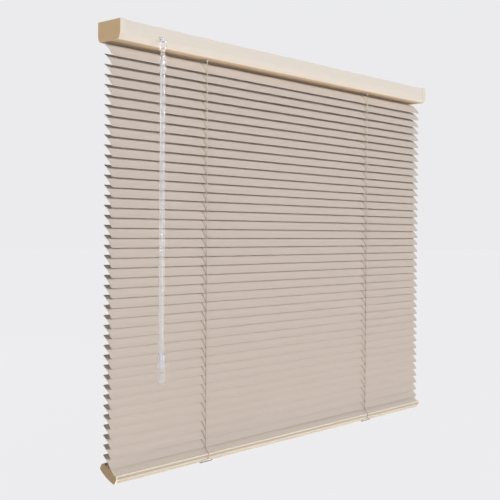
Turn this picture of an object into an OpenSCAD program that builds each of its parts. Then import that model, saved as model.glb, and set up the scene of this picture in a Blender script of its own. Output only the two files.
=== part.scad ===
// Cordless mini blind with a tilt wand.
// The origin is the centre of the headrail's back face: X runs along the blind,
// Y points to the wall and Z points up. The slats hang in front of the wall, on the -Y side.

/* [Slats] */
// Number of free slats
slat_count = 42; // [10:1:42]
// Height from one slat to the next
slat_pitch = 14.2; // [13.5:0.1:16]
// Length of a slat
slat_l = 813; // [720:1:1000]
// Width of a slat across its edges
slat_w = 25.4; // [22:0.1:26]
// Thickness of a slat
slat_t = 0.5; // [0.3:0.05:0.6]
// Rise of the slat's curved section
slat_crown = 2; // [1:0.1:2.5]
// Radius of a slat's corners
slat_corner_r = 3; // [1:0.5:8]
// Tilt as shown, front edge down, in degrees
rest_tilt = 45; // [20:1:60]
// Tilt when fully closed either way, in degrees
closed_tilt = 60; // [50:1:60]
// Height from the headrail's underside to the first slat's pivot
first_drop = 11.2; // [11.2:0.1:20]

/* [Headrail] */
// Distance of each end of the channel in from the slats' ends
head_inset = 4; // [3:0.5:12]
// Depth of the channel, front to back
head_d = 47.2; // [45:0.1:60]
// Height of the channel
head_h = 28; // [26:0.1:34]
// Thickness of the channel's wall
head_wall = 1.2; // [0.8:0.1:1.6]
// Height of the straight upper part of the front and back walls
head_straight_h = 14.6; // [10:0.1:16]
// Radius of the walls' lower curve
head_bend_r = 21; // [18:0.1:22]
// Width of each lip that folds in over the open top
lip_w = 5; // [3:0.1:9]
// Thickness of an end cap's plate
cap_t = 2.5; // [1.5:0.1:4]
// Thickness of the cap's skirt over the channel
cap_skirt_t = 0.8; // [0.6:0.1:1.2]
// Length of the cap's skirt along the channel
cap_skirt_l = 6.5; // [4:0.5:12]

/* [Ladders] */
// Distance of each ladder in from the slats' ends
ladder_inset = 188.8; // [150:0.1:250]
// Distance from a slat's pivot to a ladder cord
ladder_r = 14.8; // [14.6:0.1:15.2]
// Diameter of the ladder and lift cords
cord_d = 1; // [0.6:0.1:1]
// Distance of the lift cord behind the slats' pivots
lift_back = 13.8; // [13.7:0.1:15]
// Distance of the lift cord beside its ladder, towards the middle
lift_aside = 2.8; // [2:0.1:3]

/* [Tilter] */
// Width of the hexagonal tilt rod across its flats
rod_af = 6; // [4:0.1:6.4]
// Height of the rod's axis over the channel's floor
rod_lift = 13.1; // [12.5:0.1:14]
// Distance of the wand's axis from the channel's left end
wand_inset = 73; // [50:1:120]
// Distance of the wand's axis ahead of the channel's front face
wand_ahead = 6.3; // [6.2:0.1:8]
// Slope of the worm's axis below level, in degrees
worm_slant = 27; // [24:1:30]
// Number of gear teeth
gear_teeth = 14; // [14:1:14]
// Pitch radius of the gear
gear_pr = 6.5; // [6.3:0.1:6.7]
// Pitch radius of the worm
worm_pr = 2; // [1.9:0.1:2.1]

/* [Wand] */
// Width of the hexagonal wand across its flats
wand_af = 7.2; // [6:0.1:8]
// Length of the wand's rod below its collar
wand_l = 432; // [200:1:700]
// Length of the grip
grip_l = 44; // [30:1:60]
// Radius of the grip at its two flared ends
grip_r = 6.9; // [6.2:0.1:8]
// Radius of the connector's upper sleeve
hook_r = 5; // [4.6:0.1:5.2]

/* [Bottom rail] */
// Distance of each end of the rail's extrusion in from the slats' ends
rail_inset = 6; // [4:0.5:14]
// Width of the rail
rail_w = 35.5; // [33:0.1:38]
// Height of the rail
rail_h = 14.6; // [13:0.1:15]
// Wall of the rail's extrusion
rail_wall = 1.3; // [0.8:0.1:1.8]
// Rise of the rail's curved underside
rail_belly = 2.2; // [1:0.1:3]
// Tilt of the rail as shown, in degrees
rail_tilt = 29; // [15:1:35]
// Height from the last slat's pivot to the rail's centre
rail_drop = 17; // [16.8:0.1:22]
// Thickness of a rail end cap's plate
rail_cap_t = 3; // [2:0.1:5]
// Length of a ladder clip
clip_l = 26; // [15:1:34]

/* [Hidden] */
$fn = 64;
overrun = 1;
fit_gap = 0.1;
run_gap = 0.1;
seat_gap = 0.3;
cord_gap = 0.15;
edge_gap = 0.2;

cream = [0.90, 0.86, 0.80];
shade_cream = [0.76, 0.68, 0.56];
slat_cream = [0.80, 0.75, 0.69];
cord_cream = [0.80, 0.75, 0.67];
clear_grey = [0.86, 0.87, 0.90];
steel_grey = [0.62, 0.63, 0.65];
moulded_white = [0.93, 0.93, 0.91];
spring_grey = [0.45, 0.46, 0.48];

head_l = slat_l - 2 * head_inset;
rail_l = slat_l - 2 * rail_inset;
pivot_y = -head_d / 2;
head_floor = -head_h / 2 + head_wall;
head_bend_z = head_h / 2 - head_straight_h;
rod_z = head_floor + rod_lift;
first_z = -head_h / 2 - max(first_drop, slat_w / 2 * sin(closed_tilt) + edge_gap);
last_z = first_z - (slat_count - 1) * slat_pitch;
rail_z = last_z - rail_drop;
ladder_x = slat_l / 2 - ladder_inset;
wand_x = wand_inset - head_l / 2;
wand_y = -head_d - wand_ahead;
cord_r = cord_d / 2;
hex_corner_share = 1 / cos(30);

slat_r = (slat_w * slat_w / 4 + slat_crown * slat_crown) / (2 * slat_crown);

cap_gap = 0.1;
cap_plug_l = 8;
cap_plug_wall = 1.4;

slot_x = 8.4;
cord_way = cord_d + 2 * seat_gap;
slot_y = 2 * (ladder_r + cord_d + run_gap);

drum_hub_r = 6;
drum_flange_r = 9.5;
drum_flange_t = 1.2;
drum_inner_w = 9;
journal_r = 4.4;
journal_l = 3.8;
drum_w = drum_inner_w + 2 * (drum_flange_t + journal_l);

cradle_wall = 2.4;
cradle_base_t = 1.5;
cradle_margin = 2.6;
cradle_eye_r = 7;

housing_w = 16;
housing_wall = 2.6;
housing_floor = 1.6;
housing_h = 21;
housing_back_gap = 8;
housing_block = 7.5;
housing_front = 41.5;

gear_w = 3;
gear_tip_share = 0.15;
gear_tip_r = gear_pr + gear_tip_share * worm_pr;
gear_root_share = 0.6;
gear_root_r = gear_pr - gear_root_share * worm_pr;
tooth_tip_w = 0.6;
tooth_root_w = 1.24;
rod_overhang = 14;

worm_mean_share = 1.1;
worm_mean_r = worm_mean_share * worm_pr;
worm_depth_share = 0.375;
worm_depth = worm_depth_share * worm_pr;
worm_pitch = 2 * PI * gear_pr / gear_teeth;
worm_turns = 3;
worm_l = worm_turns * worm_pitch;
worm_steps_per_turn = 10;
worm_sides = 16;
worm_offset = gear_pr + worm_pr;
worm_y = pivot_y - worm_offset * sin(worm_slant);
worm_z = rod_z + worm_offset * cos(worm_slant);
stem_r = 2;
stem_neck_r = 1.5;
stem_neck_l = 7.5;
stem_reach = (worm_y - wand_y) / cos(worm_slant);
ball_r = 2.6;
ball_z = worm_z - stem_reach * sin(worm_slant);
stem_hole_r = stem_r + 2 * seat_gap;

hook_dome_r = 5.4;
hook_sleeve_l = 14;
hook_neck_r = 3;
hook_neck_l = 4.2;
hook_cone_l = 1.5;
hook_lower_r = 4.3;
hook_lower_l = 15.8;
hook_l = hook_sleeve_l + 2 * hook_cone_l + hook_neck_l + hook_lower_l;
hook_slot_w = 2 * (stem_neck_r + seat_gap);
swing_max = 45;

spigot_r = 1.9;
spigot_head_r = 2.7;
spigot_head_l = 2;
spigot_l = 9;
collar_gap = 0.3;
collar_r = 5.1;
collar_l = 5.5;
wand_top_z = ball_z - hook_l - collar_gap;
rod_in_grip = 22;
grip_waist_r = 5.9;
grip_flare_l = 5;
grip_bore_r = wand_af / 2 * hex_corner_share + fit_gap;

rail_bottom_r = (rail_w * rail_w / 4 + rail_belly * rail_belly) / (2 * rail_belly);
rail_lip_w = 1.6;
rail_lip_h = 2;
rail_shoulder = 2.6;
rail_deck = rail_h / 2 - rail_lip_h;
rail_groove_r = 1.3;
rail_groove_out = 0.5;
rail_groove_v = -1.8;
rail_cap_lap = 0.4;
rail_plug_l = 9;
rail_sweep_r = norm([rail_w / 2, rail_deck - rail_shoulder]);
insert_w = rail_w - 2 * (rail_shoulder + rail_lip_w + fit_gap);

clip_t = 2.2;
clip_inset = 2;
clip_front = rail_w / 2 - clip_inset;
clip_w = 11;
clip_gap = 0.05;
clip_peg_r = 2;

unit_l = 140;
unit_rod_gap = 6.6;
unit_front = -pivot_y - unit_rod_gap;
unit_top_gap = 4;
unit_boss_r = 6;
unit_boss_h = 1;
unit_boss_x = 35;
port_r = 1.2;
port_l = 6;
run_drop = 8;
run_z = head_h / 2 - run_drop;
lift_bend_r = 4;
lift_end_z = rail_z + cord_gap + sqrt(rail_sweep_r * rail_sweep_r - pow(lift_back - cord_r, 2));

cord_head_room = 1;
cord_top = head_h / 2 - cord_head_room;
front_cord_top = cord_top - ladder_r * (sin(closed_tilt) + sin(rest_tilt));
back_cord_top = cord_top - ladder_r * (sin(closed_tilt) - sin(rest_tilt));
cord_tail = 0.3;

function two_digits(i) = str(i < 10 ? "0" : "", i);
function slat_name(i) = str("slat_", two_digits(i));
function slat_z(i) = first_z - (i - 1) * slat_pitch;

// A flat outline in Y and Z, drawn out along X and centred on X = 0
module along_x(length) {
    rotate([90, 0, 90])
        linear_extrude(height = length, center = true)
            children();
}

// Children at both ladders, with +X towards the middle of the blind
module at_ladders() {
    for (side = [-1, 1])
        mirror([side > 0 ? 1 : 0, 0, 0])
            translate([-ladder_x, 0, 0])
                children();
}

// Children in the bottom rail's own frame, tilted as shown
module on_rail() {
    translate([0, pivot_y, rail_z])
        rotate([rail_tilt, 0, 0])
            children();
}

// Children on the worm's axis, with Z along it towards the wand and Y away from the gear
module on_worm_axis() {
    translate([wand_x, worm_y, worm_z])
        rotate([90 + worm_slant, 0, 0])
            children();
}

// Section of the headrail's outside, moved in by inset
module head_outline(inset) {
    intersection() {
        union() {
            translate([inset - head_d, head_bend_z])
                square([head_d - 2 * inset, head_straight_h - inset]);
            for (side = [-1, 1])
                translate([side * (head_d / 2 - head_bend_r) + pivot_y, head_bend_z])
                    circle(r = head_bend_r - inset);
            translate([head_bend_r - head_d, head_bend_z - head_bend_r + inset])
                square([head_d - 2 * head_bend_r, head_bend_r]);
        }
        translate([inset - head_d, inset - head_h / 2])
            square([head_d - 2 * inset, head_h - 2 * inset]);
    }
}

// The part of the plane in front of the wall and above the slats
module cap_side() {
    translate([-2 * head_d, -head_h / 2])
        square([2 * head_d, 2 * head_h]);
}

module headrail() {
    color(cream)
        difference() {
            along_x(head_l)
                difference() {
                    head_outline(0);
                    head_outline(head_wall);
                    translate([lip_w - head_d, head_h / 2 - head_wall - overrun])
                        square([head_d - 2 * lip_w, head_wall + 2 * overrun]);
                }
            at_ladders()
                translate([-slot_x / 2, pivot_y - slot_y / 2, -head_h / 2 - overrun])
                    cube([slot_x, slot_y, head_wall + 2 * overrun]);
            on_worm_axis()
                translate([0, 0, stem_reach / 2])
                    cylinder(r = stem_hole_r, h = stem_reach);
        }
}

module headrail_end_caps() {
    color(shade_cream)
        for (side = [-1, 1])
            mirror([side > 0 ? 1 : 0, 0, 0])
                translate([-head_l / 2, 0, 0])
                    headrail_end_cap();
}

// The left end cap, with its plate outside the plane X = 0
module headrail_end_cap() {
    translate([-cap_t / 2, 0, 0])
        along_x(cap_t)
            intersection() {
                head_outline(-cap_gap - cap_skirt_t);
                cap_side();
            }
    translate([cap_skirt_l / 2, 0, 0])
        along_x(cap_skirt_l)
            intersection() {
                difference() {
                    head_outline(-cap_gap - cap_skirt_t);
                    head_outline(-cap_gap);
                }
                cap_side();
            }
    translate([cap_plug_l / 2, 0, 0])
        along_x(cap_plug_l)
            difference() {
                head_outline(head_wall + cap_gap);
                head_outline(head_wall + cap_gap + cap_plug_wall);
            }
}

// A hexagonal bar along X, with flats at across
module hex_bar(across, length) {
    rotate([0, 90, 0])
        cylinder(d = across * hex_corner_share, h = length, center = true, $fn = 6);
}

// A round bar along X
module round_bar(radius, length) {
    rotate([0, 90, 0])
        cylinder(r = radius, h = length, center = true);
}

module tilt_rod() {
    rod_start = wand_x - rod_overhang;
    rod_end = ladder_x + rod_overhang;
    color(steel_grey)
        translate([(rod_start + rod_end) / 2, pivot_y, rod_z])
            hex_bar(rod_af, rod_end - rod_start);
}

// The gear's outline, with a gap between teeth on its +X side
module gear_outline() {
    tooth_step = 360 / gear_teeth;
    circle(r = gear_root_r);
    for (i = [1:gear_teeth])
        rotate((i - 1 / 2) * tooth_step)
            polygon([
                [0, -tooth_root_w / 2],
                [gear_root_r, -tooth_root_w / 2],
                [gear_tip_r, -tooth_tip_w / 2],
                [gear_tip_r, tooth_tip_w / 2],
                [gear_root_r, tooth_root_w / 2],
                [0, tooth_root_w / 2]
            ]);
}

module tilter_gear() {
    color(moulded_white)
        translate([wand_x, pivot_y, rod_z])
            difference() {
                union() {
                    along_x(gear_w)
                        rotate(90 + worm_slant)
                            gear_outline();
                    round_bar(journal_r, housing_w);
                }
                hex_bar(rod_af + 2 * fit_gap, housing_w + 2 * overrun);
            }
}

module tilter_worm() {
    color(moulded_white)
        on_worm_axis() {
            rotate(-180 * worm_turns)
                linear_extrude(
                    height = worm_l,
                    center = true,
                    twist = -360 * worm_turns,
                    slices = worm_turns * worm_steps_per_turn
                )
                    translate([0, -worm_depth])
                        circle(r = worm_mean_r, $fn = worm_sides);
            translate([0, 0, worm_l / 2 - stem_r])
                cylinder(r = stem_r, h = stem_reach - stem_neck_l - worm_l / 2 + stem_r);
            translate([0, 0, stem_reach - stem_neck_l - stem_r])
                cylinder(r = stem_neck_r, h = stem_neck_l + stem_r);
            translate([0, 0, stem_reach])
                sphere(r = ball_r);
        }
}

// Section of the tilter's housing, set inside the channel
module housing_outline() {
    intersection() {
        head_outline(head_wall + fit_gap);
        translate([-housing_front, head_floor])
            square([housing_front - housing_back_gap, housing_h]);
    }
}

// Section of the space for the gear and the worm, open upwards
module housing_space() {
    space_front = housing_front - housing_block;
    translate([-space_front, head_floor + housing_floor])
        square([space_front - housing_back_gap - housing_wall, housing_h]);
}

module tilter_housing() {
    color(moulded_white)
        difference() {
            translate([wand_x, 0, 0])
                along_x(housing_w)
                    housing_outline();
            translate([wand_x, 0, 0])
                along_x(housing_w - 2 * housing_wall)
                    housing_space();
            translate([wand_x, pivot_y, rod_z])
                round_bar(journal_r + run_gap, housing_w + 2 * overrun);
            on_worm_axis()
                cylinder(r = stem_r + run_gap, h = stem_reach);
        }
}

module ladder_drums() {
    color(moulded_white)
        at_ladders()
            translate([0, pivot_y, rod_z])
                difference() {
                    union() {
                        round_bar(drum_hub_r, drum_inner_w);
                        round_bar(journal_r, drum_w);
                        for (side = [-1, 1])
                            translate([side * (drum_inner_w + drum_flange_t) / 2, 0, 0])
                                round_bar(drum_flange_r, drum_flange_t);
                    }
                    hex_bar(rod_af + 2 * fit_gap, drum_w + 2 * overrun);
                }
}

// Section of a cradle's upright, with its eye round the drum's journal
module cradle_outline() {
    difference() {
        union() {
            translate([pivot_y, rod_z])
                circle(r = cradle_eye_r);
            translate([pivot_y - cradle_eye_r, head_floor])
                square([2 * cradle_eye_r, rod_lift]);
        }
        translate([pivot_y, rod_z])
            circle(r = journal_r + run_gap);
    }
}

module drum_cradles() {
    upright_x = drum_inner_w / 2 + drum_flange_t + seat_gap + cradle_wall / 2;
    base_w = 2 * (upright_x + cradle_wall / 2);
    base_d = slot_y + cradle_margin;
    color(moulded_white)
        at_ladders() {
            for (side = [-1, 1])
                translate([side * upright_x, 0, 0])
                    along_x(cradle_wall)
                        cradle_outline();
            difference() {
                translate([-base_w / 2, pivot_y - base_d / 2, head_floor])
                    cube([base_w, base_d, cradle_base_t]);
                translate([-cord_way / 2, pivot_y - slot_y / 2, head_floor - overrun])
                    cube([cord_way, slot_y, cradle_base_t + 2 * overrun]);
                translate([lift_aside, pivot_y + lift_back, head_floor - overrun])
                    cylinder(d = cord_way, h = cradle_base_t + 2 * overrun);
            }
        }
}

// Section of the spring unit's case, behind the tilt rod
module unit_outline() {
    intersection() {
        head_outline(head_wall + fit_gap);
        translate([-unit_front, head_floor])
            square([unit_front, head_h - head_wall - unit_top_gap]);
    }
}

module lift_spring_unit() {
    unit_top = head_floor + head_h - head_wall - unit_top_gap;
    color(spring_grey)
        difference() {
            union() {
                along_x(unit_l)
                    unit_outline();
                for (side = [-1, 1])
                    translate([side * unit_boss_x, pivot_y + lift_back, unit_top - overrun])
                        cylinder(r = unit_boss_r, h = unit_boss_h + overrun);
            }
            for (side = [-1, 1])
                translate([side * unit_l / 2, pivot_y + lift_back, run_z])
                    round_bar(port_r, 2 * port_l);
        }
}

// A lift cord: along the headrail from the spring unit, then down behind the slats to the rail
module lift_cords() {
    color(cord_cream)
        translate([0, pivot_y + lift_back, run_z])
            for (side = [-1, 1])
                lift_cord(side, side * (ladder_x - lift_aside));
}

module lift_cord(side, drop_x) {
    run_start = unit_l / 2 - port_l + overrun;
    run_end = side * drop_x - lift_bend_r;
    translate([side * (run_start + run_end) / 2, 0, 0])
        round_bar(cord_r, run_end - run_start);
    translate([drop_x - side * lift_bend_r, 0, -lift_bend_r])
        rotate([90, 0, 0])
            rotate(side > 0 ? 0 : 90)
                rotate_extrude(angle = 90)
                    translate([lift_bend_r, 0])
                        circle(r = cord_r);
    translate([drop_x, 0, lift_end_z - run_z])
        cylinder(r = cord_r, h = run_z - lift_bend_r - lift_end_z);
}

// The wand's connector, from its dome down, with the stem's ball at the origin
module hook_body() {
    neck_top = hook_sleeve_l + hook_cone_l;
    neck_end = neck_top + hook_neck_l;
    lower_top = neck_end + hook_cone_l;
    sphere(r = hook_dome_r);
    translate([0, 0, -hook_sleeve_l])
        cylinder(r = hook_r, h = hook_sleeve_l);
    translate([0, 0, -neck_top])
        cylinder(r1 = hook_neck_r, r2 = hook_r, h = hook_cone_l);
    translate([0, 0, -lower_top])
        cylinder(r = hook_neck_r, h = lower_top - hook_sleeve_l);
    translate([0, 0, -lower_top])
        cylinder(r1 = hook_lower_r, r2 = hook_neck_r, h = hook_cone_l);
    translate([0, 0, -hook_l])
        cylinder(r = hook_lower_r, h = hook_lower_l);
}

// Opening at the back of the connector, where the stem's neck enters and swings
module hook_slot_outline() {
    half = stem_neck_r + seat_gap;
    reach = 2 * hook_dome_r;
    high = worm_slant + swing_max;
    middle = worm_slant + swing_max / 2;
    polygon([
        half * [sin(worm_slant), -cos(worm_slant)],
        half * [sin(worm_slant), -cos(worm_slant)] + reach * [cos(worm_slant), sin(worm_slant)],
        2 * reach * [cos(middle), sin(middle)],
        half * [-sin(high), cos(high)] + reach * [cos(high), sin(high)],
        half * [-sin(high), cos(high)]
    ]);
}

module wand_hook() {
    color(clear_grey, 0.6)
        translate([wand_x, wand_y, ball_z])
            difference() {
                hook_body();
                sphere(r = ball_r + seat_gap);
                along_x(hook_slot_w)
                    hook_slot_outline();
                rotate_extrude()
                    spigot_outline(seat_gap, overrun);
            }
}

// Half section of the wand's swivel spigot in its hole, wider by gap and longer by extra
module spigot_outline(gap, extra) {
    translate([0, -hook_l - extra])
        square([spigot_r + gap, spigot_l + extra + gap]);
    translate([0, spigot_l - spigot_head_l - hook_l - gap])
        square([spigot_head_r + gap, spigot_head_l + 2 * gap]);
}

module wand() {
    color(clear_grey, 0.6)
        translate([wand_x, wand_y, wand_top_z]) {
            translate([0, 0, ball_z - wand_top_z])
                rotate_extrude()
                    spigot_outline(0, collar_gap);
            translate([0, 0, -collar_l])
                cylinder(r = collar_r, h = collar_l);
            translate([0, 0, -collar_l - wand_l])
                cylinder(d = wand_af * hex_corner_share, h = wand_l, $fn = 6);
        }
}

module wand_grip() {
    grip_top = wand_top_z - collar_l - wand_l + rod_in_grip;
    color(clear_grey, 0.6)
        translate([wand_x, wand_y, grip_top - grip_l])
            difference() {
                rotate_extrude()
                    grip_outline();
                translate([0, 0, grip_l - rod_in_grip - fit_gap])
                    cylinder(r = grip_bore_r, h = rod_in_grip + fit_gap + overrun);
            }
}

// Half section of the grip, flared at its foot and rounded at its top
module grip_outline() {
    polygon([
        [0, 0],
        [grip_r - fit_gap, 0],
        [grip_r, grip_flare_l / 4],
        [grip_waist_r, grip_flare_l],
        [grip_r, grip_l - grip_flare_l],
        [grip_waist_r, grip_l],
        [0, grip_l]
    ]);
}

// Section of the rail's hollow body below its deck, moved in by inset
module rail_outline(inset) {
    half = rail_w / 2 - inset;
    deck = rail_deck - inset;
    deck_half = rail_w / 2 - rail_shoulder - inset / 2;
    intersection() {
        translate([0, rail_bottom_r - rail_h / 2])
            circle(r = rail_bottom_r - inset, $fn = 128);
        polygon([
            [-half, -rail_h],
            [half, -rail_h],
            [half, deck - rail_shoulder],
            [deck_half, deck],
            [-deck_half, deck],
            [-half, deck - rail_shoulder]
        ]);
    }
}

// Section of the two lips along the rail's deck and the slat strip held between them
module rail_top_outline() {
    lip_out = rail_w / 2 - rail_shoulder;
    for (side = [-1, 1])
        translate([side * (lip_out - rail_lip_w / 2), 0]) {
            translate([-rail_lip_w / 2, rail_deck - rail_wall])
                square([rail_lip_w, rail_lip_h + rail_wall - rail_lip_w / 2]);
            translate([0, rail_h / 2 - rail_lip_w / 2])
                circle(d = rail_lip_w);
        }
    intersection() {
        translate([0, rail_deck + slat_crown - slat_r])
            circle(r = slat_r);
        translate([-insert_w / 2, rail_deck - rail_wall])
            square([insert_w, rail_wall + slat_crown]);
    }
}

// Grooves along the rail's front and back edges
module rail_grooves() {
    for (side = [-1, 1])
        translate([side * (rail_w / 2 + rail_groove_out), rail_groove_v])
            circle(r = rail_groove_r);
}

module bottom_rail() {
    color(cream)
        on_rail()
            difference() {
                along_x(rail_l)
                    difference() {
                        union() {
                            rail_outline(0);
                            rail_top_outline();
                        }
                        rail_outline(rail_wall);
                        rail_grooves();
                    }
                at_ladders()
                    clip_peg(clip_peg_r + fit_gap, overrun);
            }
}

module bottom_rail_end_caps() {
    color(shade_cream)
        on_rail()
            for (side = [-1, 1])
                mirror([side > 0 ? 1 : 0, 0, 0])
                    translate([-rail_l / 2, 0, 0])
                        rail_end_cap();
}

// The left rail cap, with its plate outside the plane X = 0
module rail_end_cap() {
    translate([-rail_cap_t / 2, 0, 0])
        along_x(rail_cap_t) {
            rail_outline(-rail_cap_lap);
            rail_top_outline();
        }
    translate([rail_plug_l / 2, 0, 0])
        along_x(rail_plug_l)
            difference() {
                rail_outline(rail_wall + rail_groove_r);
                rail_outline(2 * rail_wall + rail_groove_r);
            }
}

// The clip's peg through the rail's underside
module clip_peg(radius, extra) {
    peg_l = rail_belly + rail_wall + clip_t / 2;
    translate([0, clip_w / 2 - clip_front, -rail_h / 2 - extra])
        cylinder(r = radius, h = peg_l + extra);
}

module ladder_clips() {
    color(clear_grey, 0.7)
        on_rail()
            at_ladders() {
                along_x(clip_l)
                    intersection() {
                        translate([0, rail_bottom_r - rail_h / 2])
                            difference() {
                                circle(r = rail_bottom_r + clip_t, $fn = 128);
                                circle(r = rail_bottom_r + clip_gap, $fn = 128);
                            }
                        translate([-clip_front, -rail_h])
                            square([clip_w, rail_h]);
                    }
                clip_peg(clip_peg_r, clip_gap + clip_t / 4);
            }
}

// A ladder's upright cords on one side of the slats: -1 is the room side
module ladder_side(side, top_z) {
    side_y = side * ladder_r * cos(rest_tilt);
    end_z = last_z + side * ladder_r * sin(rest_tilt) - cord_tail;
    color(cord_cream)
        at_ladders()
            translate([0, pivot_y + side_y, end_z])
                cylinder(r = cord_r, h = top_z - end_z);
}

module ladder_front_cords() {
    ladder_side(-1, front_cord_top);
}

module ladder_back_cords() {
    ladder_side(1, back_cord_top);
}

// Plan of a slat, with rounded corners
module slat_plan() {
    square([slat_l - 2 * slat_corner_r, slat_w], center = true);
    square([slat_l, slat_w - 2 * slat_corner_r], center = true);
    for (x_side = [-1, 1])
        for (y_side = [-1, 1])
            translate([x_side * (slat_l / 2 - slat_corner_r), y_side * (slat_w / 2 - slat_corner_r)])
                circle(r = slat_corner_r);
}

// A level slat: a curved strip with its crown up and its edges at Z = 0
module slat_strip() {
    intersection() {
        along_x(slat_l)
            translate([0, slat_crown - slat_r])
                difference() {
                    circle(r = slat_r, $fn = 128);
                    circle(r = slat_r - slat_t, $fn = 128);
                }
        translate([0, 0, -slat_crown])
            linear_extrude(height = 3 * slat_crown)
                slat_plan();
    }
}

module slat(i) {
    color(slat_cream)
        translate([0, pivot_y, slat_z(i)])
            rotate([rest_tilt, 0, 0])
                slat_strip();
}

headrail();
headrail_end_caps();
tilt_rod();
tilter_housing();
tilter_worm();
tilter_gear();
ladder_drums();
drum_cradles();
lift_spring_unit();
lift_cords();
wand_hook();
wand();
wand_grip();
bottom_rail();
bottom_rail_end_caps();
ladder_clips();
ladder_front_cords();
ladder_back_cords();
for (i = [1:slat_count])
    slat(i);
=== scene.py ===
import math

import bmesh
import bpy
from mathutils import Matrix, Vector


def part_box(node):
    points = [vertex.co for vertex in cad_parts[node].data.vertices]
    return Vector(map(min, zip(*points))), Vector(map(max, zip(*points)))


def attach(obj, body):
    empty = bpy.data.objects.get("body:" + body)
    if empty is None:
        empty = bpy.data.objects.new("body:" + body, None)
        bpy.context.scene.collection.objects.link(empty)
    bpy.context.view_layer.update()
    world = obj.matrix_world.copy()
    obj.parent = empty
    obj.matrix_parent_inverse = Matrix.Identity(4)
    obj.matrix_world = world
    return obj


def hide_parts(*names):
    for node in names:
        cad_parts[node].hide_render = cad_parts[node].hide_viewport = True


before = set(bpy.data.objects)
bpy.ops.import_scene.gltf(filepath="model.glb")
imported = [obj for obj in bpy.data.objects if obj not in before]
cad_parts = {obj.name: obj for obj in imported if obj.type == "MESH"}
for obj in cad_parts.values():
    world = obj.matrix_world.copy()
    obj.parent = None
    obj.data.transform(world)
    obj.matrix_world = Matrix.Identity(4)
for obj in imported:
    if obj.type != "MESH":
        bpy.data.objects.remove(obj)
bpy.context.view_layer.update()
mm = 0.001
weld = 1e-6  # points nearer than this are one
vinylGrain, fineGrain = 0.3, 0.2  # bump depths in mm
scene = bpy.context.scene

# the blind's own measures, as in its solids, in mm
blind = {
    "slatCount": 42,
    "firstZ": -25.2,
    "pitch": 14.2,
    "tilt": 45.0,
    "pivotY": -23.6,
    "slatW": 25.4,
    "crown": 2.0,
    "ladderX": 217.7,
    "ladderR": 14.8,
    "cordR": 0.5,
    "railZ": -624.4,
    "railTilt": 29.0,
}
slatZ = [blind["firstZ"] - blind["pitch"] * i for i in range(blind["slatCount"])]
slatNames = [f"slat_{i + 1:02d}" for i in range(blind["slatCount"])]
slatTurn, railTurn = math.radians(blind["tilt"]), math.radians(blind["railTilt"])
tiltCos, tiltSin = math.cos(slatTurn), math.sin(slatTurn)
railCos, railSin = math.cos(railTurn), math.sin(railTurn)

cameraSpot = {
    "place": (-1.24107, -1.03401, -0.28355),
    "yaw": 48.377,  # from the wall's direction towards the right
    "pitch": -1.004,
    "roll": 0.351,
    "lens": 66.242,
    "clipEnd": 100.0,
}


def aimCamera():
    yaw, pitch, roll = (math.radians(cameraSpot[k]) for k in ("yaw", "pitch", "roll"))
    ahead = Vector((math.sin(yaw) * math.cos(pitch), math.cos(yaw) * math.cos(pitch), math.sin(pitch)))
    level = Vector((math.cos(yaw), -math.sin(yaw), 0))
    upright = level.cross(ahead)
    right = math.cos(roll) * level + math.sin(roll) * upright
    up = math.cos(roll) * upright - math.sin(roll) * level
    data = bpy.data.cameras.new("roomCamera")
    data.lens = cameraSpot["lens"]
    data.clip_end = cameraSpot["clipEnd"]
    camera = bpy.data.objects.new("roomCamera", data)
    turned = Matrix((right, up, -ahead)).transposed().to_4x4()
    camera.matrix_world = Matrix.Translation(cameraSpot["place"]) @ turned
    scene.collection.objects.link(camera)
    scene.camera = camera


aimCamera()
print("camera placed")


def newFinish(name):
    mat = bpy.data.materials.new(name)
    mat.use_nodes = True
    return mat, mat.node_tree, mat.node_tree.nodes["Principled BSDF"]


def addNode(tree, kind, settings=None, **sockets):
    node = tree.nodes.new(kind)
    for key, value in (settings or {}).items():
        setattr(node, key, value)
    for key, value in sockets.items():
        target = node.inputs[key.replace("_", " ")]
        if isinstance(value, bpy.types.NodeSocket):
            tree.links.new(value, target)
        else:
            target.default_value = value
    return node


def objectNoise(tree, stretch, scale, detail=4.0, rough=0.55):
    where = addNode(tree, "ShaderNodeTexCoord")
    turned = addNode(tree, "ShaderNodeMapping", Vector=where.outputs["Object"], Scale=stretch)
    noise = addNode(
        tree, "ShaderNodeTexNoise", Vector=turned.outputs[0], Scale=scale, Detail=detail, Roughness=rough
    )
    return noise.outputs[0]


def objectAxes(tree):
    where = addNode(tree, "ShaderNodeTexCoord")
    return addNode(tree, "ShaderNodeSeparateXYZ", Vector=where.outputs["Object"]).outputs


# a point's place in the tilted rail's own frame
def railAxes(tree):
    where = addNode(tree, "ShaderNodeTexCoord")
    onRailFrame = addNode(
        tree, "ShaderNodeMapping", {"vector_type": "TEXTURE"}, Vector=where.outputs["Object"],
        Location=(0, blind["pivotY"] * mm, blind["railZ"] * mm), Rotation=(railTurn, 0, 0),
    )
    return addNode(tree, "ShaderNodeSeparateXYZ", Vector=onRailFrame.outputs[0]).outputs


def ramp(tree, value, low, high, start=0.3, end=0.7):
    node = addNode(tree, "ShaderNodeValToRGB", Fac=value)
    node.color_ramp.elements[0].position = start
    node.color_ramp.elements[1].position = end
    node.color_ramp.elements[0].color = (*low, 1)
    node.color_ramp.elements[1].color = (*high, 1)
    return node.outputs[0]


def spread(tree, value, low, high, start=0.3, end=0.7):
    node = addNode(tree, "ShaderNodeMapRange", Value=value)
    for key, number in (("From Min", start), ("From Max", end), ("To Min", low), ("To Max", high)):
        node.inputs[key].default_value = number
    return node.outputs[0]


# soft steps between two places in mm
def stepUp(tree, value, start, end):
    return spread(tree, value, 0, 1, start * mm, end * mm)


def stepDown(tree, value, start, end):
    return spread(tree, value, 1, 0, start * mm, end * mm)


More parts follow.
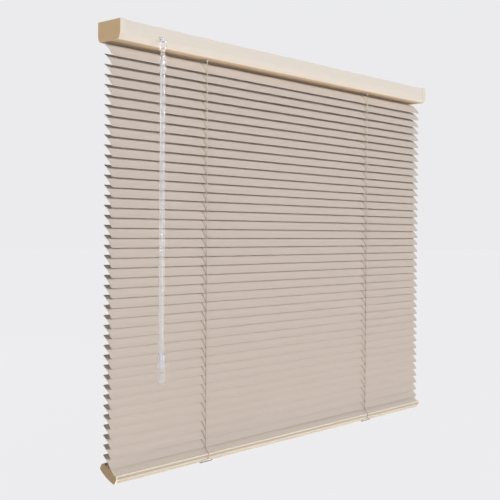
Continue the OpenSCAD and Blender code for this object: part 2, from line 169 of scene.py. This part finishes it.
def combine(tree, operation, first, second):
    node = addNode(tree, "ShaderNodeMath", {"operation": operation})
    for socket, value in zip(node.inputs, (first, second)):
        if isinstance(value, bpy.types.NodeSocket):
            tree.links.new(value, socket)
        else:
            socket.default_value = value
    return node.outputs[0]


def mixColours(tree, share, first, second):
    node = addNode(tree, "ShaderNodeMix", {"data_type": "RGBA"})
    colours = [s for s in node.inputs if s.type == "RGBA"]
    tree.links.new(share, node.inputs[0])
    tree.links.new(first, colours[0])
    tree.links.new(second, colours[1])
    return [s for s in node.outputs if s.type == "RGBA"][0]


def addBump(tree, shader, height, strength, depth):
    bump = addNode(tree, "ShaderNodeBump", Height=height, Strength=strength, Distance=depth * mm)
    tree.links.new(bump.outputs[0], shader.inputs["Normal"])


def shade(colour, factor):
    return tuple(min(1.0, c * factor) for c in colour)


def tone(tree, pattern, colour, vary):
    return ramp(tree, pattern, shade(colour, 1 - vary), shade(colour, 1 + vary))


# extruded vinyl: faint die lines along the length, soft sheen, and painted shade over a span where edge is given
def vinylFinish(name, look):
    mat, tree, shader = newFinish(name)
    lines = objectNoise(tree, (0.5, 60, 60), look["lineScale"])
    tint = tone(tree, lines, look["colour"], look["vary"])
    if "strip" in look:
        tint = railZones(tree, lines, tint, look)
    # painted shade: the edge colour laid over the span given in the look
    if "edge" in look:
        axis, start, end = look["edgeSpan"]
        inward = stepUp(tree, objectAxes(tree)[axis], start, end)
        tint = mixColours(tree, inward, tone(tree, lines, look["edge"], look["vary"]), tint)
    tree.links.new(tint, shader.inputs["Base Color"])
    tree.links.new(spread(tree, lines, *look["rough"]), shader.inputs["Roughness"])
    grain = objectNoise(tree, (0.12, 1, 1), look["grainScale"], 3)
    addBump(tree, shader, grain, look["bump"], vinylGrain)
    shader.inputs["Specular IOR Level"].default_value = look["gloss"]
    shader.inputs["Diffuse Roughness"].default_value = look.get("matt", 0)
    return mat


# places across and up the rail's own section, in mm
railMarks = {
    "stripEdge": (13.4, 13.55), "deck": (5.0, 5.4), "rim": (15.4, 16.2), "lip": 5.0, "foot": 1.4, "fade": 0.7,
}


# the rail's slat strip between its lips, with painted shade in the grooves along its edges and on its lower face
# below the foot
def railZones(tree, lines, plain, look):
    axes = railAxes(tree)
    across, high = combine(tree, "ABSOLUTE", axes["Y"], 0), axes["Z"]
    lip, foot, fade = railMarks["lip"], railMarks["foot"], railMarks["fade"]
    inside = stepDown(tree, across, *railMarks["stripEdge"])
    onStrip = combine(tree, "MULTIPLY", inside, stepUp(tree, high, *railMarks["deck"]))
    tint = mixColours(tree, onStrip, plain, tone(tree, lines, look["strip"], look["vary"]))
    # painted shade on the rail's lower face, below its foot
    below = stepDown(tree, high, foot, foot + fade)
    tint = mixColours(tree, below, tint, tone(tree, lines, look["foot"], look["vary"]))
    # painted shade in the grooves along the rail's edges
    atRim = stepUp(tree, across, *railMarks["rim"])
    underLip = stepDown(tree, high, lip, lip + fade)
    overFoot = stepUp(tree, high, foot - fade, foot)
    grooveShade = combine(tree, "MULTIPLY", atRim, combine(tree, "MULTIPLY", underLip, overFoot))
    return mixColours(tree, grooveShade, tint, tone(tree, lines, look["grooveShade"], look["vary"]))


# moulded plastic: fine even pebble, with painted shade on end faces where face is given
def mouldedFinish(name, look):
    mat, tree, shader = newFinish(name)
    cloud = objectNoise(tree, (1, 1, 1), look["cloudScale"])
    tint = tone(tree, cloud, look["colour"], look["vary"])
    # painted shade: the face colour on the end faces, out past faceX
    if "face" in look:
        outward = combine(tree, "ABSOLUTE", objectAxes(tree)["X"], 0)
        onFace = stepUp(tree, outward, look["faceX"] - look["faceFade"], look["faceX"])
        tint = mixColours(tree, onFace, tint, tone(tree, cloud, look["face"], look["vary"]))
    tree.links.new(tint, shader.inputs["Base Color"])
    tree.links.new(spread(tree, cloud, *look["rough"]), shader.inputs["Roughness"])
    grain = objectNoise(tree, (1, 1, 1), look["grainScale"], 2)
    addBump(tree, shader, grain, look["bump"], fineGrain)
    shader.inputs["Specular IOR Level"].default_value = look["gloss"]
    return mat


# clear acrylic: glossy, with faint drawn lines down its length, and painted shade below a lip where foot is given
def clearFinish(name, look):
    mat, tree, shader = newFinish(name)
    lines = objectNoise(tree, (1, 1, 0.02), look["lineScale"], 2)
    tree.links.new(spread(tree, lines, *look["rough"]), shader.inputs["Roughness"])
    tint = ramp(tree, lines, shade(look["colour"], look["lineTone"]), look["colour"])
    # painted shade below the lip
    if "foot" in look:
        low = stepDown(tree, railAxes(tree)["Z"], look["lipFoot"] - look["footFade"], look["lipFoot"])
        footShade = ramp(tree, lines, shade(look["foot"], look["lineTone"]), look["foot"])
        tint = mixColours(tree, low, tint, footShade)
    tree.links.new(tint, shader.inputs["Base Color"])
    shader.inputs["Transmission Weight"].default_value = look["clear"]
    shader.inputs["IOR"].default_value = look["ior"]
    shader.inputs["Coat Weight"].default_value = look["coat"]
    shader.inputs["Coat Roughness"].default_value = look["coatRough"]
    return mat


# braided cord: crossing bands along its length with painted shade in the braid's creases, paler near the headrail
def cordFinish(name, look):
    mat, tree, shader = newFinish(name)
    where = addNode(tree, "ShaderNodeTexCoord").outputs["Object"]
    bands = []
    for lean in (look["lean"], -look["lean"]):
        turned = addNode(tree, "ShaderNodeMapping", Vector=where, Rotation=(0, lean, 0))
        band = addNode(
            tree, "ShaderNodeTexWave", {"bands_direction": "Z"}, Vector=turned.outputs[0], Scale=look["braidScale"]
        )
        bands.append(band.outputs["Fac"])
    braid = combine(tree, "MAXIMUM", *bands)
    low = spread(tree, objectAxes(tree)["Z"], 1, 0, look["paleFrom"], look["paleTo"])
    # painted shade: each colour darker in the braid's creases
    pale, plain = (
        ramp(tree, braid, shade(look[k], look["creaseShade"]), look[k], *look["creaseSpan"]) for k in ("pale", "colour")
    )
    tree.links.new(mixColours(tree, low, pale, plain), shader.inputs["Base Color"])
    addBump(tree, shader, braid, look["bump"], fineGrain)
    shader.inputs["Roughness"].default_value = look["rough"]
    shader.inputs["Sheen Weight"].default_value = look["sheen"]
    return mat


# drawn zinc-plated steel
def steelFinish(name, look):
    mat, tree, shader = newFinish(name)
    lines = objectNoise(tree, (0.4, 80, 80), look["lineScale"])
    tint = ramp(tree, lines, shade(look["colour"], look["lineTone"]), look["colour"])
    tree.links.new(tint, shader.inputs["Base Color"])
    tree.links.new(spread(tree, lines, *look["rough"]), shader.inputs["Roughness"])
    addBump(tree, shader, lines, look["bump"], fineGrain)
    shader.inputs["Metallic"].default_value = 1
    return mat


# what the finishes of one kind have in common
capLook = {
    "faceFade": 0.3, "vary": 0.02, "cloudScale": 60, "grainScale": 1500,
    "rough": (0.42, 0.52), "bump": 0.14, "gloss": 0.4,
}
clearLook = {"lineScale": 400, "lineTone": 0.97, "rough": (0.05, 0.10), "ior": 1.49, "coat": 0.1, "coatRough": 0.04}
braidLook = {
    # painted shade in the braid's creases
    "paleFrom": -0.34, "paleTo": -0.08, "lean": 0.6, "braidScale": 320, "creaseShade": 0.75, "creaseSpan": (0.2, 0.9),
    "bump": 0.6, "rough": 0.75, "sheen": 0.15,
}
finishLooks = {
    "headVinyl": (vinylFinish, {
        "colour": (0.865, 0.796, 0.72), "vary": 0.015, "lineScale": 5, "grainScale": 900,
        "rough": (0.60, 0.70), "bump": 0.10, "gloss": 0.12,
        "edge": (0.71, 0.57, 0.42), "edgeSpan": ("Z", -14.0, -12.8),  # painted shade: a warm tan over the underside
    }),
    "slatVinyl": (vinylFinish, {
        "colour": (0.775, 0.70, 0.642), "vary": 0.02, "lineScale": 9, "grainScale": 1100,
        "rough": (0.62, 0.74), "bump": 0.10, "gloss": 0.08, "matt": 1.0,
        "edge": (0.745, 0.672, 0.612), "edgeSpan": ("Y", -32.6, -24.5),  # painted shade, a little deeper along the room edge, evening out the light falling there
    }),
    "railVinyl": (vinylFinish, {
        "colour": (0.775, 0.715, 0.63), "vary": 0.02, "lineScale": 6, "grainScale": 900,
        "rough": (0.40, 0.50), "bump": 0.10, "gloss": 0.4, "matt": 1.0,
        # groove and foot colours are painted shade
        "strip": (0.745, 0.665, 0.597), "grooveShade": (0.61, 0.53, 0.43), "foot": (0.67, 0.61, 0.53),
    }),
    # face: painted shade on the headrail caps' end faces
    "headCapPlastic": (mouldedFinish, {
        **capLook, "colour": (0.84, 0.77, 0.67), "face": (0.865, 0.62, 0.36), "faceX": 404.9,
    }),
    # face: painted shade on the rail caps' end faces
    "railCapPlastic": (mouldedFinish, {
        **capLook, "colour": (0.80, 0.73, 0.62), "face": (0.465, 0.332, 0.193), "faceX": 403.4,
    }),
    "mouldedWhite": (mouldedFinish, {
        "colour": (0.82, 0.82, 0.79), "vary": 0.02, "cloudScale": 80, "grainScale": 1200,
        "rough": (0.40, 0.50), "bump": 0.10, "gloss": 0.45,
    }),
    "springCase": (mouldedFinish, {
        "colour": (0.17, 0.175, 0.19), "vary": 0.06, "cloudScale": 50, "grainScale": 1400,
        "rough": (0.45, 0.58), "bump": 0.18, "gloss": 0.4,
    }),
    "clearPlastic": (clearFinish, {**clearLook, "colour": (0.92, 0.93, 0.97), "clear": 0.9}),
    "rodPlastic": (clearFinish, {**clearLook, "colour": (0.92, 0.94, 0.98), "clear": 0.82}),
    "clipPlastic": (clearFinish, {
        **clearLook, "colour": (0.96, 0.91, 0.83), "rough": (0.10, 0.18), "clear": 0.2, "coat": 0.15,
        "foot": (0.15, 0.137, 0.12), "lipFoot": -2.6, "footFade": 0.4,  # painted shade below its pale lip
    }),
    "ladderCord": (cordFinish, {**braidLook, "colour": (0.42, 0.35, 0.28), "pale": (0.74, 0.66, 0.54)}),
    "rungCord": (cordFinish, {**braidLook, "colour": (0.60, 0.52, 0.44), "pale": (0.74, 0.66, 0.54)}),
    "liftCord": (cordFinish, {**braidLook, "colour": (0.62, 0.55, 0.46), "pale": (0.74, 0.67, 0.57)}),
    "rodSteel": (steelFinish, {
        "colour": (0.66, 0.67, 0.69), "lineScale": 12, "lineTone": 0.85, "rough": (0.28, 0.42), "bump": 0.1,
    }),
}
finishes = {name: make(name, look) for name, (make, look) in finishLooks.items()}
nodeFinish = {
    "headrail": "headVinyl",
    "headrail_end_caps": "headCapPlastic",
    "tilt_rod": "rodSteel",
    "tilter_housing": "mouldedWhite",
    "tilter_worm": "mouldedWhite",
    "tilter_gear": "mouldedWhite",
    "ladder_drums": "mouldedWhite",
    "drum_cradles": "mouldedWhite",
    "lift_spring_unit": "springCase",
    "lift_cords": "liftCord",
    "wand_hook": "clearPlastic",
    "wand": "rodPlastic",
    "wand_grip": "clearPlastic",
    "bottom_rail": "railVinyl",
    "bottom_rail_end_caps": "railCapPlastic",
    "ladder_clips": "clipPlastic",
    "ladder_front_cords": "ladderCord",
    "ladder_back_cords": "ladderCord",
}
nodeFinish.update({name: "slatVinyl" for name in slatNames})
for nodeName, finishName in nodeFinish.items():
    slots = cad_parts[nodeName].data.materials
    slots.clear()
    slots.append(finishes[finishName])
print("finishes set on", len(nodeFinish), "nodes")


# a cord as a round curve; each run is a list of (x, y, z, swell) in mm
def cordPiece(name, runs, radius, body, finish="ladderCord", sides=2):
    curve = bpy.data.curves.new(name, "CURVE")
    curve.dimensions = "3D"
    curve.bevel_depth = radius * mm
    curve.bevel_resolution = sides
    curve.use_fill_caps = True
    for run in runs:
        spline = curve.splines.new("POLY")
        spline.points.add(len(run) - 1)
        for point, (x, y, z, swell) in zip(spline.points, run):
            point.co = (x * mm, y * mm, z * mm, 1)
            point.radius = swell
    curve.materials.append(finishes[finish])
    piece = bpy.data.objects.new(name, curve)
    scene.collection.objects.link(piece)
    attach(piece, body)
    return piece


# (y, z) of a point given along and above a slat or the rail
def onSlat(z, u, v):
    return (blind["pivotY"] + u * tiltCos - v * tiltSin, z + u * tiltSin + v * tiltCos)


def onRail(u, v):
    return (blind["pivotY"] + u * railCos - v * railSin, blind["railZ"] + u * railSin + v * railCos)


liftLook = {
    "aside": 2.8, "back": 13.8, "startX": 65.0, "runZ": 6.0, "bendR": 4.0, "endZ": -613.4,
    "runSteps": 6, "bendSteps": 8, "dropSteps": 12,
}


# a lift cord: out of the spring unit, along the headrail, down behind the slats to the rail
def liftRun(side):
    y, dropX = blind["pivotY"] + liftLook["back"], blind["ladderX"] - liftLook["aside"]
    bend, top, end, startX = (liftLook[k] for k in ("bendR", "runZ", "endZ", "startX"))
    runSteps, bendSteps, dropSteps = (liftLook[k] for k in ("runSteps", "bendSteps", "dropSteps"))
    line = [(startX + i * (dropX - bend - startX) / runSteps, top) for i in range(runSteps)]
    for i in range(bendSteps + 1):
        turn = math.radians(90 - i * 90 / bendSteps)
        line.append((dropX - bend + bend * math.cos(turn), top - bend + bend * math.sin(turn)))
    line += [(dropX, top - bend + (end - top + bend) * i / dropSteps) for i in range(1, dropSteps + 1)]
    return [(side * x, y, z, 1) for x, z in line]


for sideName, side in (("left", -1), ("right", 1)):
    run = liftRun(side)
    liftCord = cordPiece(f"lift_cord_{sideName}", [run], blind["cordR"], "headrail", "liftCord")
    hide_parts("lift_cords")

uprightLook = {
    "knotHalf": 1.3,
    "knotSwell": 1.7,
    "beadTop": -14.6,
    "beadFoot": -18.0,
    "beadSwell": 2.4,
    "beadShape": ((0.15, 0.8), (0.4, 1.0), (0.75, 0.85)),  # share of its height, share of its swell
}


# an upright cord of a ladder with a small knot at each rung, and on the room side a bead under the headrail
def uprightRun(x, side, top, end):
    y, drop = blind["pivotY"] + side * blind["ladderR"] * tiltCos, side * blind["ladderR"] * tiltSin
    run = [(x, y, top, 1)]
    if side < 0:
        high, low = uprightLook["beadTop"], uprightLook["beadFoot"]
        run.append((x, y, high, 1))
        for share, size in uprightLook["beadShape"]:
            run.append((x, y, high + share * (low - high), size * uprightLook["beadSwell"]))
        run.append((x, y, low, 1))
    half, swell = uprightLook["knotHalf"], uprightLook["knotSwell"]
    for z in slatZ:
        for step, size in ((half, 1), (half / 2, swell), (-half / 2, swell), (-half, 1)):
            if end < z + drop + step < run[-1][2]:
                run.append((x, y, z + drop + step, size))
    run.append((x, y, end, 1))
    return run


for nodeName, body, side in (("ladder_front_cords", "ladder_front", -1), ("ladder_back_cords", "ladder_back", 1)):
    low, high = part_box(nodeName)
    runs = [uprightRun(s * blind["ladderX"], side, high.z / mm, low.z / mm) for s in (-1, 1)]
    upright = cordPiece(nodeName.replace("_cords", "_uprights"), runs, blind["cordR"], body)
    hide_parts(nodeName)

rungLook = {"radius": 0.5, "lift": 0.50, "sink": 0.95, "steps": 12}


# the two rungs that hold a slat: one over its crown, one straight under its edges
def rungRuns(x, z):
    arcR = (blind["slatW"] ** 2 / 4 + blind["crown"] ** 2) / (2 * blind["crown"])
    reach, halfW = blind["ladderR"], blind["slatW"] / 2
    over, under = [(-reach, 0)], [(-reach, 0)]
    for i in range(rungLook["steps"] + 1):
        u = halfW * (2 * i / rungLook["steps"] - 1)
        over.append((u, math.sqrt(arcR ** 2 - u ** 2) - arcR + blind["crown"] + rungLook["lift"]))
    under += [(-halfW, -rungLook["sink"]), (0, -rungLook["sink"]), (halfW, -rungLook["sink"])]
    over.append((reach, 0))
    under.append((reach, 0))
    return [[(x, *onSlat(z, u, v), 1) for u, v in line] for line in (over, under)]


for nodeName, z in zip(slatNames, slatZ):
    runs = [run for s in (-1, 1) for run in rungRuns(s * blind["ladderX"], z)]
    cordPiece(nodeName.replace("slat", "rungs"), runs, rungLook["radius"], nodeName, "rungCord", 1)

# the ladders' lower ends, over the rail's edges and under it to the clip, in the rail's own frame
tailLook = {
    "overlap": 0.6,
    "front": [(-13.6, 8.3), (-15.0, 7.75), (-15.7, 6.9), (-16.4, 5.4), (-18.1, 3.2), (-18.35, 2.2), (-18.35, -1.4)],
    "back": [(13.3, 8.1), (14.6, 7.85), (15.6, 6.9), (16.4, 5.3), (18.1, 3.2), (18.35, 2.2), (18.35, -3.6),
             (17.6, -5.7), (15.5, -6.2), (9.0, -7.3), (2.0, -7.85), (-4.6, -7.75)],
}


def tailRun(x, side, line):
    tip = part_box("ladder_front_cords" if side < 0 else "ladder_back_cords")[0].z / mm
    start = (x, blind["pivotY"] + side * blind["ladderR"] * tiltCos, tip + tailLook["overlap"], 1)
    return [start] + [(x, *onRail(u, v), 1) for u, v in line]


for sideName, side in (("front", -1), ("back", 1)):
    runs = [tailRun(s * blind["ladderX"], side, tailLook[sideName]) for s in (-1, 1)]
    cordPiece(f"ladder_{sideName}_tails", runs, blind["cordR"], "bottom_rail")
print("cords strung")


# a mesh piece with smooth faces and sharp edges kept by angle
def meshPiece(name, bm, finish, body, sharp=30):
    bmesh.ops.remove_doubles(bm, verts=bm.verts, dist=weld)
    bmesh.ops.recalc_face_normals(bm, faces=bm.faces)
    for face in bm.faces:
        face.smooth = True
    for edge in bentEdges(bm, sharp):
        edge.smooth = False
    mesh = bpy.data.meshes.new(name)
    bm.to_mesh(mesh)
    bm.free()
    mesh.materials.append(finishes[finish])
    piece = bpy.data.objects.new(name, mesh)
    scene.collection.objects.link(piece)
    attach(piece, body)
    return piece


def bentEdges(bm, angle):
    limit = math.radians(angle)
    return [e for e in bm.edges if len(e.link_faces) == 2 and e.calc_face_angle() > limit]


def roundEdges(bm, edges, width, segments):
    bmesh.ops.bevel(
        bm, geom=edges, offset=width * mm, segments=segments, profile=0.5, affect="EDGES", material=-1
    )


# a half section of (radius, height) in mm, spun about the upright axis
def spinProfile(bm, profile, steps, turn=0.0):
    points = [bm.verts.new((r * mm * math.cos(turn), r * mm * math.sin(turn), z * mm)) for r, z in profile]
    line = points + [bm.edges.new(pair) for pair in zip(points, points[1:])]
    bmesh.ops.spin(bm, geom=line, cent=(0, 0, 0), axis=(0, 0, 1), angle=2 * math.pi, steps=steps, use_merge=True)
    bmesh.ops.remove_doubles(bm, verts=bm.verts, dist=weld)


clipLook = {
    "half": 13.0,
    "edge": 0.25,
    "roundedOver": 60,  # degrees
    "outline": [(-18.0, -1.5), (-18.9, -1.5), (-18.9, -4.4), (-18.1, -6.9), (-16.2, -7.9), (-10.0, -8.75),
                (-4.75, -9.0), (-4.75, -7.65), (-10.0, -7.15), (-16.2, -5.9), (-17.6, -5.0), (-18.0, -3.9)],
}


# a clear clip at each ladder, bent round the rail's front edge and under it
def buildClips():
    bm = bmesh.new()
    for side in (-1, 1):
        start = (side * blind["ladderX"] - clipLook["half"]) * mm
        ring = [bm.verts.new((start, *(c * mm for c in onRail(u, v)))) for u, v in clipLook["outline"]]
        face = bm.faces.new(ring)
        moved = bmesh.ops.extrude_face_region(bm, geom=[face])["geom"]
        corners = [g for g in moved if isinstance(g, bmesh.types.BMVert)]
        bmesh.ops.translate(bm, verts=corners, vec=(2 * clipLook["half"] * mm, 0, 0))
    bmesh.ops.recalc_face_normals(bm, faces=bm.faces)
    roundEdges(bm, bentEdges(bm, clipLook["roundedOver"]), clipLook["edge"], 2)
    clips = meshPiece("ladder_clip_bands", bm, "clipPlastic", "bottom_rail")
    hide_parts("ladder_clips")


buildClips()
print("clips made")

wandLook = {
    "x": -329.5,
    "y": -53.5,
    "top": -42.695,
    "acrossFlats": 7.2,
    "rodTop": -48.22,
    "rodLength": 432.0,
    "edgeRound": 0.55,
    "collarSteps": 32,
    "collar": [(0, -5.5), (4.5, -5.5), (5.1, -4.9), (5.1, -1.2), (4.7, -0.4), (3.6, 0), (1.9, 0), (1.9, 6.9),
               (2.7, 7.3), (2.7, 8.7), (2.2, 9.3), (0, 9.3)],
    "gripFoot": -502.2,
    "gripSides": 8,
    "gripEdge": 0.35,
    "gripSharp": 20,  # degrees
    "ribsPast": 5.2,  # from the axis
    "levelWithin": 0.01,
    "grip": [(0, 0.5), (4.6, 0), (6.0, 0.2), (6.5, 1.0), (6.35, 2.4), (5.85, 4.6), (5.7, 8), (5.8, 14), (6.2, 25),
             (6.75, 35.5), (6.85, 38.6), (6.3, 41.2), (5.3, 43.4), (4.6, 44), (4.6, 21.6), (0, 21.6)],
}


def riseOf(edge):
    return abs(edge.verts[0].co.z - edge.verts[1].co.z) / mm


# hexagonal rod with rounded edges, under a turned collar and its spigot
def buildRod():
    bm = bmesh.new()
    corner = wandLook["acrossFlats"] / 2 / math.cos(math.pi / 6) * mm
    long = wandLook["rodLength"] * mm
    bmesh.ops.create_cone(bm, cap_ends=True, segments=6, radius1=corner, radius2=corner, depth=long)
    upright = [e for e in bm.edges if riseOf(e) > wandLook["rodLength"] / 2]
    roundEdges(bm, upright, wandLook["edgeRound"], 3)
    bmesh.ops.translate(bm, verts=bm.verts, vec=(0, 0, wandLook["rodTop"] * mm - long / 2))
    spun = bmesh.new()
    spinProfile(spun, wandLook["collar"], wandLook["collarSteps"])
    bmesh.ops.translate(spun, verts=spun.verts, vec=(0, 0, wandLook["top"] * mm))
    holder = bpy.data.meshes.new("collar")
    spun.to_mesh(holder)
    spun.free()
    bm.from_mesh(holder)
    bpy.data.meshes.remove(holder)
    bmesh.ops.translate(bm, verts=bm.verts, vec=(wandLook["x"] * mm, wandLook["y"] * mm, 0))
    rod = meshPiece("wand_rod", bm, "rodPlastic", "wand")
    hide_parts("wand")
    return rod


# eight-sided grip, narrow over its foot and widest below its shoulders, bored for the rod
def buildGrip():
    bm = bmesh.new()
    spinProfile(bm, wandLook["grip"], wandLook["gripSides"], math.pi / wandLook["gripSides"])
    outer = [e for e in bm.edges if min(v.co.xy.length for v in e.verts) > wandLook["ribsPast"] * mm]
    ribs = [e for e in outer if riseOf(e) > wandLook["levelWithin"]]
    roundEdges(bm, ribs, wandLook["gripEdge"], 2)
    place = Vector((wandLook["x"], wandLook["y"], wandLook["gripFoot"])) * mm
    bmesh.ops.translate(bm, verts=bm.verts, vec=place)
    grip = meshPiece("wand_grip_clear", bm, "clearPlastic", "wand", wandLook["gripSharp"])
    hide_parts("wand_grip")
    return grip


for piece in (buildRod(), buildGrip(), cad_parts["wand_hook"]):
    piece.visible_shadow = False  # clear: the light goes through
    piece.visible_diffuse = False
print("wand made")

lightLook = {
    "keys": (("keyLight", -5.0, 268.0), ("windowLight", 40.0, 141.0)),  # degrees right of the room side, watts
    "away": 8.0,
    "keyZ": 1.25,
    "target": (0, 0, -0.3),
    "keySize": (0.35, 1.7),
    "sidePlace": (-6.0, -0.5, -0.3),
    "sideSize": (0.6, 0.6),
    "sidePower": 97.0,
    "backTurn": 165.0,  # a weak lamp behind the blind
    "backZ": -0.65,
    "backPower": 66.0,
    "streakTurn": -17.0,  # a tall soft panel, mirrored in the wand's near face
    "streakSize": (0.57, 3.4),
    "streakPower": 24.5,
    "underY": -0.24,
    "underLift": 0.02,
    "underSize": (2.4, 0.3),
    "underPower": 10.0,
    "underTint": (1, 0.88, 0.72),
    "worldTint": (1, 0.985, 0.96),
    "worldLit": 0.26,
    "worldDim": 0.05,
    "worldSpan": (-0.5, 0.6),
    "litFrom": (-0.2, -0.98, 0),
    "backdrop": (0.83, 0.83, 0.845),
    "floorZ": -1.3,
    "floorR": 60.0,
    "floorColour": (0.2, 0.2, 0.202),
    "floorRough": 0.9,
    "floorShadow": 0.25,
    "floorLevel": 1.31,
}


def areaLamp(name, power, size, place, target=lightLook["target"]):
    panel = bpy.data.lights.new(name, "AREA")
    panel.energy = power
    panel.shape = "RECTANGLE"
    panel.size, panel.size_y = size
    lamp = bpy.data.objects.new(name, panel)
    lamp.location = place
    lamp.rotation_mode = "QUATERNION"
    lamp.rotation_quaternion = (Vector(place) - Vector(target)).to_track_quat("Z", "Y")
    lamp.visible_camera = False
    lamp.visible_transmission = False
    scene.collection.objects.link(lamp)
    return panel


# a far place in the room, turned to the right of straight in front
def roomPlace(turn, z):
    angle, away = math.radians(turn), lightLook["away"]
    return (away * math.sin(angle), -away * math.cos(angle), z)


def hangLamps():
    for name, turn, power in lightLook["keys"]:
        areaLamp(name, power, lightLook["keySize"], roomPlace(turn, lightLook["keyZ"]))
    backPlace = roomPlace(lightLook["backTurn"], lightLook["backZ"])
    areaLamp("backLight", lightLook["backPower"], lightLook["sideSize"], backPlace)
    streakPlace = roomPlace(lightLook["streakTurn"], lightLook["target"][2])
    areaLamp("streakLight", lightLook["streakPower"], lightLook["streakSize"], streakPlace)
    areaLamp("sideLight", lightLook["sidePower"], lightLook["sideSize"], lightLook["sidePlace"])
    underY = lightLook["underY"]
    underPlace = (0, underY, lightLook["floorZ"] + lightLook["underLift"])
    under = areaLamp("underLight", lightLook["underPower"], lightLook["underSize"], underPlace, (0, underY, 0))
    under.color = lightLook["underTint"]


# rays that should meet the plain backdrop: seen straight, mirrored, or through clear plastic
def backdropRays(tree):
    rays = addNode(tree, "ShaderNodeLightPath").outputs
    seen = combine(tree, "MAXIMUM", rays["Is Camera Ray"], rays["Is Transmission Ray"])
    return combine(tree, "MAXIMUM", seen, rays["Is Glossy Ray"])


def mixShaders(tree, share, first, second, output):
    pick = addNode(tree, "ShaderNodeMixShader", Fac=share)
    tree.links.new(first.outputs[0], pick.inputs[1])
    tree.links.new(second.outputs[0], pick.inputs[2])
    tree.links.new(pick.outputs[0], tree.nodes[output].inputs["Surface"])


# soft light, stronger from the room side
def setWorld():
    world = bpy.data.worlds.new("studio")
    world.use_nodes = True
    scene.world = world
    tree = world.node_tree
    where = addNode(tree, "ShaderNodeTexCoord")
    toward = addNode(tree, "ShaderNodeVectorMath", {"operation": "DOT_PRODUCT"})
    tree.links.new(where.outputs["Generated"], toward.inputs[0])
    toward.inputs[1].default_value = lightLook["litFrom"]
    dim, lit = lightLook["worldDim"], lightLook["worldLit"]
    level = spread(tree, toward.outputs["Value"], dim, lit, *lightLook["worldSpan"])
    soft = addNode(tree, "ShaderNodeBackground", Color=(*lightLook["worldTint"], 1), Strength=level)
    seen = addNode(tree, "ShaderNodeBackground", Color=(*lightLook["backdrop"], 1))
    mixShaders(tree, backdropRays(tree), soft, seen, "World Output")


def layFloor():
    bm = bmesh.new()
    bmesh.ops.create_circle(bm, cap_ends=True, segments=96, radius=lightLook["floorR"])
    bmesh.ops.translate(bm, verts=bm.verts, vec=(0, 0, lightLook["floorZ"]))
    mesh = bpy.data.meshes.new("floor")
    bm.to_mesh(mesh)
    bm.free()
    floor = bpy.data.objects.new("floor", mesh)
    mat, tree, shader = newFinish("paleFloor")
    shader.inputs["Base Color"].default_value = (*lightLook["floorColour"], 1)
    shader.inputs["Roughness"].default_value = lightLook["floorRough"]
    plain = addNode(
        tree, "ShaderNodeEmission", Color=(*lightLook["backdrop"], 1), Strength=lightLook["floorLevel"]
    )
    share = combine(tree, "MULTIPLY", backdropRays(tree), 1 - lightLook["floorShadow"])
    mixShaders(tree, share, shader, plain, "Material Output")
    mesh.materials.append(mat)
    scene.collection.objects.link(floor)


hangLamps()
setWorld()
layFloor()
scene.view_settings.view_transform = "Standard"
print("lights and floor ready")
